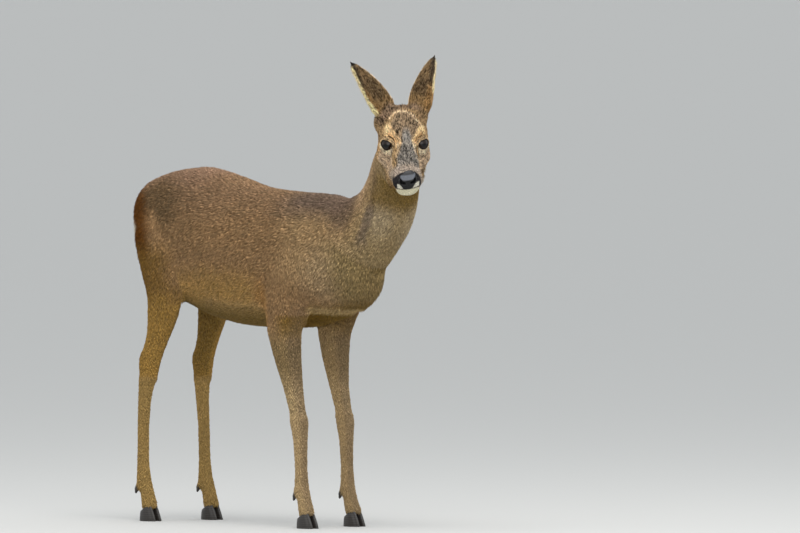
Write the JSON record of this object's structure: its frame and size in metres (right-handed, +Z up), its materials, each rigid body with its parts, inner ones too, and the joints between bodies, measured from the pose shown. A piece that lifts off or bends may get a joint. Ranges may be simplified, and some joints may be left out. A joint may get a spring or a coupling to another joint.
{
  "type": "roe deer",
  "caption": "Life-size roe deer doe in winter coat, standing still with her head turned to one side and her ears up.",
  "frame": {"origin": "on the floor, under the middle of the animal's overall box", "axes": "+X the way the trunk points, +Y the deer's left, +Z up"},
  "size_m": [0.8796, 0.2332, 0.9552],
  "materials": {
    "coat": "matt",
    "face_coat": "matt",
    "ear_coat": "matt",
    "rump_coat": "matt",
    "muzzle": "satin",
    "eye": "gloss",
    "horn": "satin"
  },
  "bodies": {
    "root": {"dewclaw_fore_left_inner": "horn", "dewclaw_fore_left_outer": "horn", "dewclaw_fore_right_inner": "horn", "dewclaw_fore_right_outer": "horn", "dewclaw_hind_left_inner": "horn", "dewclaw_hind_left_outer": "horn", "dewclaw_hind_right_inner": "horn", "dewclaw_hind_right_outer": "horn", "ear_left": "ear_coat", "ear_right": "ear_coat", "eye_left": "eye", "eye_right": "eye", "head": "face_coat", "hoof_fore_left_inner": "horn", "hoof_fore_left_outer": "horn", "hoof_fore_right_inner": "horn", "hoof_fore_right_outer": "horn", "hoof_hind_left_inner": "horn", "hoof_hind_left_outer": "horn", "hoof_hind_right_inner": "horn", "hoof_hind_right_outer": "horn", "leg_fore_left_lower": "coat", "leg_fore_left_upper": "coat", "leg_fore_right_lower": "coat", "leg_fore_right_upper": "coat", "leg_hind_left_lower": "coat", "leg_hind_left_upper": "coat", "leg_hind_right_lower": "coat", "leg_hind_right_upper": "coat", "muzzle": "muzzle", "neck": "coat", "tail": "rump_coat", "trunk": "coat"}
  },
  "joints": []
}
